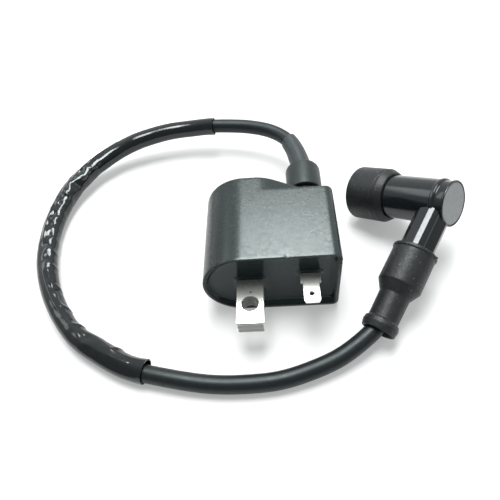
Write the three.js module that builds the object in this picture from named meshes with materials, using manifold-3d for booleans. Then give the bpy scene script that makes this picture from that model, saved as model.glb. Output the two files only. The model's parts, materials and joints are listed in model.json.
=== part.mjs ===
// Ignition coil with a high-tension lead and a right-angle spark-plug cap.
// Millimetres, +Z up. The coil stands on the flat bottom of its case at Z = 0. X runs from the round
// side of the case to its square side, and Y runs from the mounting leg to the lead tower.
import * as THREE from 'three';
import { mergeVertices } from 'three/addons/utils/BufferGeometryUtils.js';
import Module from 'manifold-3d';

const wasm = await Module();
wasm.setup();

// ---------------------------------------------------------------- driving dimensions
const GAP = 0.15; // clearance round a piece that is cast or pressed into another

// case
const CASE_HEIGHT = 34;
const CASE_LEFT = -34;
const CASE_RIGHT = 20;
const CASE_FRONT = -18;
const CASE_BACK = 18;
const CASE_WALL = 1.4;
const TOP_CORNER = 3.4;
const BOTTOM_CORNER = 2.8;
const DRUM_RADIUS = CASE_HEIGHT / 2;
const DRUM_X = CASE_LEFT + DRUM_RADIUS;
const DRUM_Z = DRUM_RADIUS;
const HUMP_BACK = 26;
const HUMP_CROWN_X = -12;
const HUMP_CAVITY_FRONT = 12;

// lead tower
const TOWER_X = 9.8;
const TOWER_Z = 17;
const WEB_RADIUS = 9;
const NECK_RADIUS = 6;
const NECK_END = 42;
const TOWER_BORE = 3.95;
const TOWER_BORE_FRONT = 31;
const COLLAR_RADIUS = 8;
const COLLAR_FRONT = 30;
const COLLAR_BACK = 45.5;
const COLLAR_EDGE = 1.8;
const GROMMET_RADIUS = 4.65;
const GROMMET_FLANGE_RADIUS = 5.9;
const GROMMET_FLANGE = [42.3, 43.6];

// laminated core and its mounting leg
const CORE_X = -15.2;
const CORE_WIDTH = 10.4;
const CORE_TOP = 18.75;
const LAMINATIONS = 12;
const LAMINATION_THICKNESS = 0.5;
const LAMINATION_PITCH = 0.55;
const CORE_HEIGHT = LAMINATIONS * LAMINATION_PITCH - (LAMINATION_PITCH - LAMINATION_THICKNESS);
const CORE_Z = CORE_TOP - CORE_HEIGHT / 2;
const LEG_END = -36;
const CORE_END = 21;
const BOLT_HOLE_Y = -27.5;
const BOLT_HOLE_RADIUS = 3.3;
const LEG_CORNER = 0.8;

// windings, on the core's axis
const RESIN_FRONT = -15.8;
const RESIN_BORE = 12.4;
const RESIN_BORE_FRONT = -13.5;
const COIL_FRONT = -11;
const COIL_BACK = 20.5;
const PRIMARY_TUBE_RADIUS = 7.6;
const PRIMARY_FLANGE_RADIUS = 9.8;
const PRIMARY_WIRE_RADII = [7.75, 9.5];
const SECONDARY_TUBE_RADII = [10.05, 10.75];
const SECONDARY_FLANGE_RADIUS = 12.1;
const SECONDARY_WIRE_RADII = [10.9, 11.8];
const SECONDARY_SECTIONS = 5;
const FLANGE_THICKNESS = 0.9;

// terminals and inner wires
const SPADE_X = 8.2;
const SPADE_TOP = 21.2;
const SPADE_THICKNESS = 0.8;
const SPADE_WIDTH = 6.3;
const SPADE_SHOULDER_WIDTH = 7.9;
const SPADE_TAIL_WIDTH = 4;
const SPADE_END = -29.7;
const SPADE_SHOULDER = -20.9;
const SPADE_TAIL = -14.6;
const SPADE_BACK = -11.2;
const SPADE_CHAMFER = 1.3;
const SPADE_HOLE_Y = -25.7;
const SPADE_HOLE_RADIUS = 0.95;
const INNER_WIRE_RADIUS = 0.45;
const INNER_WIRES = {
  primary_lead: [[SPADE_X - 2.8, -12.3, 20.8], [0, -12.3, 20.8], [-5, -12.3, 20.8], [-7.6, -12.3, 20.2]],
  ground_lead: [[-22.6, -12.3, 16.6], [-21.6, -12.3, 18.7], [-19.5, -12.3, 19.8], [-17, -12.3, 19.6]],
  secondary_lead: [[-5.2, 21.8, 17], [-1, 21.9, 17], [3.5, 21.9, 17], [7.2, 21.9, 17]],
};
const SPIKE_RADIUS = 1.15;
const SPIKE_HEAD_RADIUS = 2.2;
const SPIKE_SPAN = [21.2, 37];

// high-tension lead and its sleeve
const LEAD_RADIUS = 3.5;
const LEAD_BORE = 1.6;
const CONDUCTOR_RADIUS = 1.15;
const LEAD_STEPS = 52;
const LEAD_SIDES = 10;
const SLEEVE_RADIUS = 4.5;
const SLEEVE_BORE = 3.85;
const SLEEVE_STEPS = [10, 36]; // the steps of the lead between which the sleeve lies
const GROMMET_STEPS = [1.42, 4.58];
const GROMMET_BORE_STEPS = [1, 7];
const GROMMET_SECTIONS = 8;
const CONDUCTOR_STEPS = [1, 51];

// plug cap: its own X is the barrel's axis, out through the end disc, and its own -Y is the leg's
const CAP_ELBOW = new THREE.Vector3(62.8, 11.85, 26.3);
const CAP_LEG_SLOPE = 19.27;
const CAP_ROLL = -25;
const CAP_HEADING = -32.84;
const BARREL_RADIUS = 9.35;
const BARREL_MOUTH = -31;
const BARREL_BORE = 7.2;
const BARREL_BORE_END = -12;
const BARREL_END = 6.2;
const CONTACT_BORE = 1.6;
const CHAMBER_RADIUS = 4;
const CHAMBER = [-10.5, 5.1];
const DISC_RADIUS = 8.55;
const DISC_SPAN = [5.1, 6.1];
const END_RING_RADIUS = 9.75;
const END_NECK_RADIUS = 9;
const LEG_RADIUS = 6.8;
const LEG_LENGTH = 37;
const LEG_BORE_END = -15.5;
const LEG_EDGE_ANGLES = [-4, 34, 56, 76, 115, 146]; // wide and narrow facets; the other side is the same
const WIRE_SCREW_SPAN = [-21, -18.5, -3.9]; // tip, full width, head
const BLOCK_RADIUS = 3.6;
const BLOCK_LENGTH = 4.8;
const RESISTOR_SPAN = [-10.2, -2.7];
const RESISTOR_RADIUS = 3;
const RESISTOR_END_RADIUS = 3.3;
const RESISTOR_END_LENGTH = 1.3;
const SPRING_SPAN = [3, 4.7];
const SPRING_RADIUS = 2.4;
const SPRING_WIRE_RADIUS = 0.22;
const SPRING_TURNS = 2;
const SOCKET_RADII = [3.25, 4.1];
const SOCKET_MOUTH = -25;
const SOCKET_FLOOR = 0.7;
const CLIP_RADIUS = 4.75;
const CLIP_WIRE_RADIUS = 0.35;
const CLIP_ALONG = -19;
const PLUG_BOOT_RADIUS = 11.75;
const PLUG_BOOT_LIP_RADIUS = 6.6;
const PLUG_BOOT_CAVITY_RADIUS = 8;
const PLUG_BOOT_SPAN = [-39.7, -21.1];
const CABLE_BOOT_RADIUS = 8.6;
const CABLE_BOOT_SMALL_RADIUS = 6.05;
const CABLE_BOOT_FLANGE_RADIUS = 6.9;
const CABLE_BOOT_SPAN = [-23.6, -59.2];
const CABLE_BOOT_BORE = LEAD_RADIUS + 0.45;
const CABLE_BOOT_BELL = [[4.6, -55], [CABLE_BOOT_BORE, -49.5]]; // the mouth opens out where the lead bends
const CABLE_BOOT_MOUTH_RADIUS = 5.7;

// The lead's centreline: out of the tower, down to the surface that the coil stands on, round in one
// open loop, and up to the cap. LEAD_IN_LEG is the rest of it, as places along the axis of the cap's leg.
const LEAD_ROUTE = [
  [9.8, 31.3, 17], [9.8, 36, 17], [9.8, 41, 17], [9.8, 45, 17],
  [9.3, 55, 17], [7.5, 62.5, 17], [4.5, 68.5, 17], [0, 74, 17],
  [-6, 78.5, 17], [-16, 83, 16.5], [-26, 85.5, 16], [-36, 87, 15.5],
  [-47, 87.5, 14.5], [-58, 87, 14], [-68, 85.5, 13], [-77, 83, 12],
  [-85, 79.5, 10.5], [-93, 74, 9], [-100, 67.5, 8], [-106, 59.5, 7],
  [-110, 50.5, 6], [-112.5, 40, 5], [-113, 27, 4.6], [-110.5, 9.5, 4.6],
  [-104.5, -6, 4.6], [-96, -20, 4.6], [-86, -31.5, 4.6], [-76, -38.5, 4.6],
  [-64, -45, 4.6], [-46, -50, 4.5], [-31, -52.5, 4], [-18, -53, 4],
  [-5.5, -52, 4], [6, -49, 4.5], [17, -44.5, 5], [26.5, -38.5, 6.5],
  [32.5, -33.5, 8],
];
const LEAD_IN_LEG = [-48, -32, -16];

// ---------------------------------------------------------------- materials
const FINISHES = {
  caseBlack: [0x34393c, 0.55, 0],
  resin: [0x1c1f21, 0.15, 0],
  steel: [0xc9c9c6, 0.3, 0.9],
  zinc: [0xd6d6d2, 0.28, 0.9],
  nylon: [0xd9d4c2, 0.5, 0],
  copper: [0xb5683a, 0.35, 0.9],
  brass: [0xb89a52, 0.35, 0.9],
  rubber: [0x25292b, 0.75, 0],
  leadBlack: [0x1f2426, 0.35, 0],
  vinyl: [0x16191b, 0.25, 0],
  bakelite: [0x1d2022, 0.22, 0],
  epoxy: [0x74797b, 0.7, 0],
  ceramic: [0xe6e2d8, 0.45, 0],
};

const model = new THREE.Group();
model.name = 'ignition_coil';

function add(name, geometry, finish, parent = model) {
  const [color, roughness, metalness] = FINISHES[finish];
  const material = new THREE.MeshStandardMaterial({ color, roughness, metalness });
  const mesh = new THREE.Mesh(geometry, material);
  mesh.name = name;
  parent.add(mesh);
  return mesh;
}

// ---------------------------------------------------------------- geometry helpers
function signedVolume(position, index) {
  const [a, b, c] = [new THREE.Vector3(), new THREE.Vector3(), new THREE.Vector3()];
  let sum = 0;
  for (let i = 0; i < index.length; i += 3) {
    a.fromBufferAttribute(position, index[i]);
    b.fromBufferAttribute(position, index[i + 1]);
    c.fromBufferAttribute(position, index[i + 2]);
    sum += a.dot(b.cross(c)) / 6;
  }
  return sum;
}

// One closed mesh with shared vertices, no empty triangles, and its faces pointing out.
function closed(geometry) {
  const bare = new THREE.BufferGeometry();
  bare.setAttribute('position', geometry.getAttribute('position').clone());
  bare.setIndex(geometry.getIndex());
  const merged = mergeVertices(bare, 1e-5);
  const old = merged.getIndex().array;
  let index = [];
  for (let i = 0; i < old.length; i += 3) {
    const [a, b, c] = [old[i], old[i + 1], old[i + 2]];
    if (a !== b && b !== c && c !== a) index.push(a, b, c);
  }
  if (signedVolume(merged.getAttribute('position'), index) < 0) index = index.reverse();
  merged.setIndex(index);
  return merged;
}

function toSolid(geometry) {
  const mesh = closed(geometry);
  const vertProperties = new Float32Array(mesh.getAttribute('position').array);
  const triVerts = new Uint32Array(mesh.getIndex().array);
  return new wasm.Manifold(new wasm.Mesh({ numProp: 3, vertProperties, triVerts }));
}

function fromSolid(solid) {
  const mesh = solid.getMesh();
  const geometry = new THREE.BufferGeometry();
  geometry.setAttribute('position', new THREE.BufferAttribute(mesh.vertProperties, 3));
  geometry.setIndex(new THREE.BufferAttribute(mesh.triVerts, 1));
  return geometry;
}

function combine(joined, cut = []) {
  let solid = toSolid(joined[0]);
  for (const piece of joined.slice(1)) solid = solid.add(toSolid(piece));
  for (const piece of cut) solid = solid.subtract(toSolid(piece));
  return fromSolid(solid);
}

function arc(x, y, radius, from, to, steps) {
  const points = [];
  for (let i = 0; i <= steps; i += 1) {
    const angle = THREE.MathUtils.degToRad(from + ((to - from) * i) / steps);
    points.push(new THREE.Vector2(x + radius * Math.cos(angle), y + radius * Math.sin(angle)));
  }
  return points;
}

function polygon(radius, sides, turn = 0) {
  return arc(0, 0, radius, turn, turn + 360 - 360 / sides, sides - 1);
}

function shapeOf(outline, holes = []) {
  const shape = new THREE.Shape(outline);
  shape.holes = holes.map((hole) => new THREE.Path(hole));
  return shape;
}

// A plate: an outline in X and Y, from one height to another.
function plate(outline, bottom, top, holes = []) {
  const depth = top - bottom;
  const geometry = new THREE.ExtrudeGeometry(shapeOf(outline, holes), { depth, bevelEnabled: false });
  return closed(geometry.translate(0, 0, bottom));
}

// A prism: an outline in X and Z, from one Y to another.
function prism(outline, front, back) {
  const depth = back - front;
  const geometry = new THREE.ExtrudeGeometry(shapeOf(outline), { depth, bevelEnabled: false });
  return closed(geometry.rotateX(Math.PI / 2).translate(0, back, 0));
}

function block(x, y, z) {
  const geometry = new THREE.BoxGeometry(x[1] - x[0], y[1] - y[0], z[1] - z[0]);
  return geometry.translate((x[0] + x[1]) / 2, (y[0] + y[1]) / 2, (z[0] + z[1]) / 2);
}

// A turned solid about a line along Y. The profile is a list of [radius, y].
function turned(profile, x, z, segments = 24) {
  const points = profile.map(([radius, y]) => new THREE.Vector2(radius, y));
  return closed(new THREE.LatheGeometry(points, segments).translate(x, 0, z));
}

function rod(radius, front, back, x, z, segments = 24) {
  return turned([[0, front], [radius, front], [radius, back], [0, back]], x, z, segments);
}

function ring(inner, outer, front, back, x, z, segments = 24) {
  const profile = [[inner, front], [outer, front], [outer, back], [inner, back], [inner, front]];
  return turned(profile, x, z, segments);
}

// The same about the cap's own X axis.
function turnedX(profile, segments = 24) {
  return turned(profile, 0, 0, segments).rotateZ(-Math.PI / 2);
}

function rodX(radius, from, to, segments = 24) {
  return turnedX([[0, from], [radius, from], [radius, to], [0, to]], segments);
}

function swept(outline, path, steps, holes = []) {
  const options = { steps, extrudePath: path, bevelEnabled: false };
  return closed(new THREE.ExtrudeGeometry(shapeOf(outline, holes), options));
}

function smoothCurve(points) {
  const knots = points.map((point) => new THREE.Vector3(...point));
  return new THREE.CatmullRomCurve3(knots, false, 'centripetal');
}

function wire(points, radius, steps, sides = 8) {
  return swept(polygon(radius, sides), smoothCurve(points), steps);
}

// The stretch of a longer curve between two of its equal steps.
class Stretch extends THREE.Curve {
  constructor(curve, steps, from, to) {
    super();
    this.curve = curve;
    this.start = from / steps;
    this.span = (to - from) / steps;
  }

  getPoint(t, target = new THREE.Vector3()) {
    return this.curve.getPointAt(THREE.MathUtils.clamp(this.start + this.span * t, 0, 1), target);
  }
}

// ---------------------------------------------------------------- case
// The case's cross-section: a drum on the left and square corners on the right.
function caseOutline(inset) {
  const right = CASE_RIGHT - inset;
  const top = CASE_HEIGHT - inset;
  const upper = TOP_CORNER - inset / 2;
  const lower = BOTTOM_CORNER - inset / 2;
  return [
    ...arc(DRUM_X, DRUM_Z, DRUM_RADIUS - inset, 90, 270, 24),
    ...arc(right - lower, inset + lower, lower, 270, 360, 4),
    ...arc(right - upper, top - upper, upper, 0, 90, 4),
  ];
}

// The cross-section behind the box: the drum falls in an S-curve to the web round the tower.
function humpOutline(inset) {
  const crown = CASE_HEIGHT - inset;
  const web = TOWER_Z + WEB_RADIUS - inset;
  const fall = new THREE.CubicBezierCurve(
    new THREE.Vector2(HUMP_CROWN_X, crown),
    new THREE.Vector2(HUMP_CROWN_X + 7, crown),
    new THREE.Vector2(TOWER_X - 9, web + 1),
    new THREE.Vector2(TOWER_X, web),
  );
  const upper = fall.getPoints(8);
  const lower = upper.map((point) => new THREE.Vector2(point.x, CASE_HEIGHT - point.y));
  return [
    ...arc(DRUM_X, DRUM_Z, DRUM_RADIUS - inset, 90, 270, 24),
    ...lower.slice(0, -1),
    ...arc(TOWER_X, TOWER_Z, WEB_RADIUS - inset, -90, 90, 10),
    ...upper.slice(0, -1).reverse(),
  ];
}

function coilCase() {
  return combine(
    [
      prism(caseOutline(0), CASE_FRONT, CASE_BACK),
      prism(humpOutline(0), CASE_BACK - CASE_WALL, HUMP_BACK),
      rod(NECK_RADIUS, HUMP_BACK - 1, NECK_END, TOWER_X, TOWER_Z),
    ],
    [
      prism(caseOutline(CASE_WALL), CASE_FRONT - 1, CASE_BACK - CASE_WALL),
      prism(humpOutline(CASE_WALL), HUMP_CAVITY_FRONT, HUMP_BACK - CASE_WALL),
      rod(TOWER_BORE, TOWER_BORE_FRONT, NECK_END + 1, TOWER_X, TOWER_Z),
      rod(SPIKE_RADIUS + 2 * GAP, HUMP_BACK - 2 * CASE_WALL, TOWER_BORE_FRONT + 1, TOWER_X, TOWER_Z, 12),
    ],
  );
}

function towerCollar() {
  const edge = arc(COLLAR_RADIUS - COLLAR_EDGE, COLLAR_BACK - COLLAR_EDGE, COLLAR_EDGE, 0, 90, 3);
  const bore = NECK_RADIUS + 2 * GAP;
  const mouth = GROMMET_RADIUS + 2 * GAP;
  const shoulder = GROMMET_FLANGE[1] + GAP;
  return turned([
    [bore, COLLAR_FRONT], [COLLAR_RADIUS, COLLAR_FRONT],
    ...edge.map((point) => [point.x, point.y]),
    [mouth, COLLAR_BACK], [mouth, shoulder], [bore, shoulder], [bore, COLLAR_FRONT],
  ], TOWER_X, TOWER_Z);
}

// ---------------------------------------------------------------- core, windings and resin
function lamination(level) {
  const left = CORE_X - CORE_WIDTH / 2;
  const right = CORE_X + CORE_WIDTH / 2;
  const top = CORE_TOP - level * LAMINATION_PITCH;
  const outline = [
    ...arc(left + LEG_CORNER, LEG_END + LEG_CORNER, LEG_CORNER, 180, 270, 2),
    ...arc(right - LEG_CORNER, LEG_END + LEG_CORNER, LEG_CORNER, 270, 360, 2),
    new THREE.Vector2(right, CORE_END),
    new THREE.Vector2(left, CORE_END),
  ];
  const hole = arc(CORE_X, BOLT_HOLE_Y, BOLT_HOLE_RADIUS, 0, 345, 23);
  return plate(outline, top - LAMINATION_THICKNESS, top, [hole]);
}

function coreSlot(clearance, front, back) {
  const halfWidth = CORE_WIDTH / 2 + clearance;
  const halfHeight = CORE_HEIGHT / 2 + clearance;
  return block(
    [CORE_X - halfWidth, CORE_X + halfWidth],
    [front, back],
    [CORE_Z - halfHeight, CORE_Z + halfHeight],
  );
}

function primaryBobbin() {
  const tube = PRIMARY_TUBE_RADIUS;
  const flange = PRIMARY_FLANGE_RADIUS;
  const spool = turned([
    [0, COIL_FRONT], [flange, COIL_FRONT], [flange, COIL_FRONT + FLANGE_THICKNESS],
    [tube, COIL_FRONT + FLANGE_THICKNESS], [tube, COIL_BACK - FLANGE_THICKNESS],
    [flange, COIL_BACK - FLANGE_THICKNESS], [flange, COIL_BACK], [0, COIL_BACK],
  ], CORE_X, CORE_Z);
  return combine([spool], [coreSlot(GAP, COIL_FRONT - 1, COIL_BACK + 1)]);
}

const SECTION_PITCH = (COIL_BACK - COIL_FRONT - FLANGE_THICKNESS) / SECONDARY_SECTIONS;

function secondaryBobbin() {
  const [inner, tube] = SECONDARY_TUBE_RADII;
  const profile = [[inner, COIL_FRONT]];
  for (let i = 0; i <= SECONDARY_SECTIONS; i += 1) {
    const front = COIL_FRONT + i * SECTION_PITCH;
    const back = front + FLANGE_THICKNESS;
    if (i > 0) profile.push([tube, front]);
    profile.push([SECONDARY_FLANGE_RADIUS, front], [SECONDARY_FLANGE_RADIUS, back]);
    if (i < SECONDARY_SECTIONS) profile.push([tube, back]);
  }
  profile.push([inner, COIL_BACK], [inner, COIL_FRONT]);
  return turned(profile, CORE_X, CORE_Z, 20);
}

function secondarySection(i) {
  const front = COIL_FRONT + i * SECTION_PITCH + FLANGE_THICKNESS + GAP;
  const back = COIL_FRONT + (i + 1) * SECTION_PITCH - GAP;
  return ring(...SECONDARY_WIRE_RADII, front, back, CORE_X, CORE_Z, 20);
}

function spadeOutline(clearance = 0) {
  const blade = SPADE_WIDTH / 2 + clearance;
  const shoulder = SPADE_SHOULDER_WIDTH / 2 + clearance;
  const tail = SPADE_TAIL_WIDTH / 2 + clearance;
  const half = [
    [tail, SPADE_BACK + clearance], [tail, SPADE_TAIL + clearance], [shoulder, SPADE_TAIL + clearance],
    [shoulder, SPADE_SHOULDER - clearance], [blade, SPADE_SHOULDER - clearance],
    [blade, SPADE_END + SPADE_CHAMFER], [blade - SPADE_CHAMFER / 2, SPADE_END],
  ];
  return [
    ...half.map(([x, y]) => new THREE.Vector2(SPADE_X + x, y)),
    ...half.map(([x, y]) => new THREE.Vector2(SPADE_X - x, y)).reverse(),
  ];
}

function spadeTerminal() {
  const hole = arc(SPADE_X, SPADE_HOLE_Y, SPADE_HOLE_RADIUS, 0, 330, 11);
  return plate(spadeOutline(), SPADE_TOP - SPADE_THICKNESS, SPADE_TOP, [hole]);
}

function pottingResin() {
  const inset = CASE_WALL + GAP;
  const wireZ = SPADE_TOP - SPADE_THICKNESS / 2;
  return combine(
    [
      prism(caseOutline(inset), RESIN_FRONT, CASE_BACK - inset),
      prism(humpOutline(inset), HUMP_CAVITY_FRONT + GAP, HUMP_BACK - inset),
    ],
    [
      rod(RESIN_BORE, RESIN_BORE_FRONT, HUMP_BACK, CORE_X, CORE_Z),
      coreSlot(GAP, RESIN_FRONT - 1, RESIN_BORE_FRONT + 1),
      plate(spadeOutline(GAP), SPADE_TOP - SPADE_THICKNESS - GAP, SPADE_TOP + GAP),
      block([CORE_X + 6, SPADE_X], [RESIN_BORE_FRONT, COIL_FRONT + 0.2], [wireZ - 1.5, wireZ + 1.5]),
      block([CORE_X + 6, TOWER_X], [20.4, HUMP_BACK], [TOWER_Z - 1.5, TOWER_Z + 1.5]),
      rod(SPIKE_HEAD_RADIUS + 2 * GAP, 20.4, HUMP_BACK, TOWER_X, TOWER_Z, 16),
    ],
  );
}

// ---------------------------------------------------------------- lead
const capTurn = new THREE.Euler(
  THREE.MathUtils.degToRad(CAP_LEG_SLOPE),
  THREE.MathUtils.degToRad(CAP_ROLL),
  THREE.MathUtils.degToRad(CAP_HEADING),
  'ZXY',
);

function onLegAxis(along) {
  return new THREE.Vector3(0, along, 0).applyEuler(capTurn).add(CAP_ELBOW).toArray();
}

const leadPath = smoothCurve([...LEAD_ROUTE, ...LEAD_IN_LEG.map(onLegAxis)]);
leadPath.arcLengthDivisions = 2400; // fine enough for the lead's steps to be equal

function leadStretch([from, to]) {
  return new Stretch(leadPath, LEAD_STEPS, from, to);
}

function tube(outer, bore, steps, sides, boreSides) {
  return swept(polygon(outer, sides), leadStretch(steps), steps[1] - steps[0], [polygon(bore, boreSides)]);
}

function leadGrommet() {
  const outer = swept(polygon(GROMMET_RADIUS, 16), leadStretch(GROMMET_STEPS), GROMMET_SECTIONS);
  const flange = rod(GROMMET_FLANGE_RADIUS, ...GROMMET_FLANGE, TOWER_X, TOWER_Z, 20);
  const bore = swept(polygon(TOWER_BORE, 12), leadStretch(GROMMET_BORE_STEPS), GROMMET_SECTIONS);
  return combine([outer, flange], [bore]);
}

// ---------------------------------------------------------------- plug cap
const cap = new THREE.Group();
cap.name = 'plug_cap';
cap.position.copy(CAP_ELBOW);
cap.rotation.copy(capTurn);
model.add(cap);

function legEdge(degrees) {
  const angle = THREE.MathUtils.degToRad(degrees);
  return new THREE.Vector2(LEG_RADIUS * Math.cos(angle), LEG_RADIUS * Math.sin(angle));
}

function capBody() {
  const barrel = turnedX([
    [0, BARREL_MOUTH], [BARREL_RADIUS - 0.6, BARREL_MOUTH], [BARREL_RADIUS, BARREL_MOUTH + 0.8],
    [BARREL_RADIUS, 0.2], [END_RING_RADIUS, 0.5], [END_RING_RADIUS, 1.6], [END_NECK_RADIUS, 2],
    [END_NECK_RADIUS, 5.1], [BARREL_RADIUS, 5.4], [BARREL_RADIUS, BARREL_END], [0, BARREL_END],
  ]);
  const otherSide = LEG_EDGE_ANGLES.map((angle) => angle + 180);
  const leg = prism([...LEG_EDGE_ANGLES, ...otherSide].map(legEdge), -LEG_LENGTH, 0);
  return combine(
    [barrel, leg],
    [
      rodX(BARREL_BORE, BARREL_MOUTH - 1, BARREL_BORE_END),
      rodX(CONTACT_BORE, BARREL_BORE_END - 1, CHAMBER[0] + 1, 12),
      rodX(CHAMBER_RADIUS, CHAMBER[0], BARREL_END, 16),
      rodX(DISC_RADIUS + GAP, DISC_SPAN[0] - GAP, BARREL_END + 1),
      rod(TOWER_BORE, -LEG_LENGTH - 1, LEG_BORE_END, 0, 0, 16),
      rod(SPIKE_RADIUS + 2 * GAP, LEG_BORE_END - 1, 0, 0, 0, 12),
    ],
  );
}

function endDisc() {
  return rodX(DISC_RADIUS, ...DISC_SPAN);
}

// The screw that bites into the lead's conductor, its block, the resistor and its spring.
function wireScrew() {
  const [tip, shank, head] = WIRE_SCREW_SPAN;
  return turned([[0, tip], [SPIKE_RADIUS, shank], [SPIKE_RADIUS, head], [0, head]], 0, 0, 12);
}

function screwBlock() {
  const half = BLOCK_LENGTH / 2;
  const edge = 0.4;
  return turnedX([
    [0, -half], [BLOCK_RADIUS - edge, -half], [BLOCK_RADIUS, -half + edge],
    [BLOCK_RADIUS, half - edge], [BLOCK_RADIUS - edge, half], [0, half],
  ], 12);
}

function resistor() {
  const [from, to] = RESISTOR_SPAN;
  const end = RESISTOR_END_LENGTH;
  return turnedX([
    [0, from], [RESISTOR_END_RADIUS, from], [RESISTOR_END_RADIUS, from + end],
    [RESISTOR_RADIUS, from + end + 0.2], [RESISTOR_RADIUS, to - end - 0.2],
    [RESISTOR_END_RADIUS, to - end], [RESISTOR_END_RADIUS, to], [0, to],
  ], 16);
}

function resistorSpring() {
  const [from, to] = SPRING_SPAN;
  const pointsPerTurn = 8;
  const last = SPRING_TURNS * pointsPerTurn;
  const points = [];
  for (let i = 0; i <= last; i += 1) {
    const angle = (i * 2 * Math.PI) / pointsPerTurn;
    const along = from + ((to - from) * i) / last;
    points.push([along, SPRING_RADIUS * Math.cos(angle), SPRING_RADIUS * Math.sin(angle)]);
  }
  return wire(points, SPRING_WIRE_RADIUS, SPRING_TURNS * 12, 6);
}

// The brass socket that grips the plug's terminal, and the wire clip round it.
function plugSocket() {
  const [bore, outer] = SOCKET_RADII;
  const stud = CONTACT_BORE - 2 * GAP;
  const back = BARREL_BORE_END - 2 * GAP;
  return turnedX([
    [0, CHAMBER[0] - 2 * GAP], [0, back - SOCKET_FLOOR], [bore, back - SOCKET_FLOOR], [bore, SOCKET_MOUTH],
    [outer, SOCKET_MOUTH], [outer, back], [stud, back], [stud, CHAMBER[0] - 2 * GAP],
    [0, CHAMBER[0] - 2 * GAP],
  ], 16);
}

function socketClip() {
  const points = arc(0, 0, CLIP_RADIUS, 20, 340, 16).map((point) => [CLIP_ALONG, point.x, point.y]);
  return wire(points, CLIP_WIRE_RADIUS, 20, 6);
}

function plugBoot() {
  const [mouth, back] = PLUG_BOOT_SPAN;
  const outer = PLUG_BOOT_RADIUS;
  const lip = PLUG_BOOT_LIP_RADIUS;
  const cavity = PLUG_BOOT_CAVITY_RADIUS;
  const grip = BARREL_RADIUS + 2 * GAP;
  const shoulder = BARREL_MOUTH - 2 * GAP;
  return turnedX([
    [lip, mouth + 0.6], [lip + 0.6, mouth], [lip + 2.4, mouth], [lip + 2.6, mouth + 0.6],
    [outer - 0.8, mouth + 0.6], [outer, mouth + 1.4], [outer, back - 4.3], [outer - 0.4, back - 4],
    [outer, back - 3.7], [outer, back - 2.8], [outer - 1.5, back], [grip, back],
    [grip, shoulder], [cavity, shoulder], [cavity, mouth + 4.6], [lip, mouth + 4.6], [lip, mouth + 0.6],
  ], 28);
}

function cableBoot() {
  const [back, mouth] = CABLE_BOOT_SPAN;
  const grip = LEG_RADIUS + 2 * GAP;
  const big = CABLE_BOOT_RADIUS;
  const small = CABLE_BOOT_SMALL_RADIUS;
  const flange = CABLE_BOOT_FLANGE_RADIUS;
  return turned([
    [grip, back], [big + 0.25, back], [big + 0.25, back - 1.2], [big - 0.1, back - 1.5],
    [big, back - 15.8], [small, back - 20.2], [small - 0.15, back - 30.8], [flange, back - 31.2],
    [flange, mouth + 0.8], [flange - 0.6, mouth], [CABLE_BOOT_MOUTH_RADIUS, mouth], ...CABLE_BOOT_BELL,
    [CABLE_BOOT_BORE, -LEG_LENGTH - 0.8], [grip, -LEG_LENGTH - 0.8], [grip, back],
  ], 0, 0);
}

// ---------------------------------------------------------------- assembly
add('coil_case', coilCase(), 'caseBlack');
add('potting_resin', pottingResin(), 'resin');
for (let i = 0; i < LAMINATIONS; i += 1) {
  add(`core_lamination_${String(i + 1).padStart(2, '0')}`, lamination(i), 'steel');
}
add('primary_bobbin', primaryBobbin(), 'nylon');
add('primary_winding', ring(
  ...PRIMARY_WIRE_RADII,
  COIL_FRONT + FLANGE_THICKNESS + GAP,
  COIL_BACK - FLANGE_THICKNESS - GAP,
  CORE_X,
  CORE_Z,
), 'copper');
add('secondary_bobbin', secondaryBobbin(), 'nylon');
for (let i = 0; i < SECONDARY_SECTIONS; i += 1) {
  add(`secondary_section_${i + 1}`, secondarySection(i), 'copper');
}
add('spade_terminal', spadeTerminal(), 'zinc');
for (const [name, points] of Object.entries(INNER_WIRES)) {
  add(name, wire(points, INNER_WIRE_RADIUS, 6), 'copper');
}
add('ht_spike', turned([
  [0, SPIKE_SPAN[0]], [SPIKE_HEAD_RADIUS, SPIKE_SPAN[0]], [SPIKE_HEAD_RADIUS, SPIKE_SPAN[0] + 1.2],
  [SPIKE_RADIUS, SPIKE_SPAN[0] + 1.2], [SPIKE_RADIUS, SPIKE_SPAN[1] - 2.5], [0, SPIKE_SPAN[1]],
], TOWER_X, TOWER_Z, 12), 'brass');
add('tower_collar', towerCollar(), 'rubber');
add('lead_grommet', leadGrommet(), 'rubber');
add('ht_lead', tube(LEAD_RADIUS, LEAD_BORE, [0, LEAD_STEPS], LEAD_SIDES, 8), 'leadBlack');
add('lead_conductor', swept(
  polygon(CONDUCTOR_RADIUS, 8), leadStretch(CONDUCTOR_STEPS), CONDUCTOR_STEPS[1] - CONDUCTOR_STEPS[0],
), 'copper');
add('lead_sleeve', tube(SLEEVE_RADIUS, SLEEVE_BORE, SLEEVE_STEPS, LEAD_SIDES, LEAD_SIDES), 'vinyl');

add('cap_body', capBody(), 'bakelite', cap);
add('cap_end_disc', endDisc(), 'epoxy', cap);
add('wire_screw', wireScrew(), 'brass', cap);
add('screw_block', screwBlock(), 'brass', cap);
add('resistor', resistor(), 'ceramic', cap);
add('resistor_spring', resistorSpring(), 'zinc', cap);
add('plug_socket', plugSocket(), 'brass', cap);
add('socket_clip', socketClip(), 'zinc', cap);
add('cable_boot', cableBoot(), 'rubber', cap);
add('plug_boot', plugBoot(), 'rubber', cap);

export default model;
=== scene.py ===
# The looks of an ignition coil: a potted case with a mounting leg, a high-tension lead in a vinyl
# sleeve, and a right-angle spark plug cap. Places are in the row's frame; the constants are millimetres.
import json
import math

import bmesh
import bpy
import numpy as np
from mathutils import Euler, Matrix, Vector
from mathutils.geometry import tessellate_polygon


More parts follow.
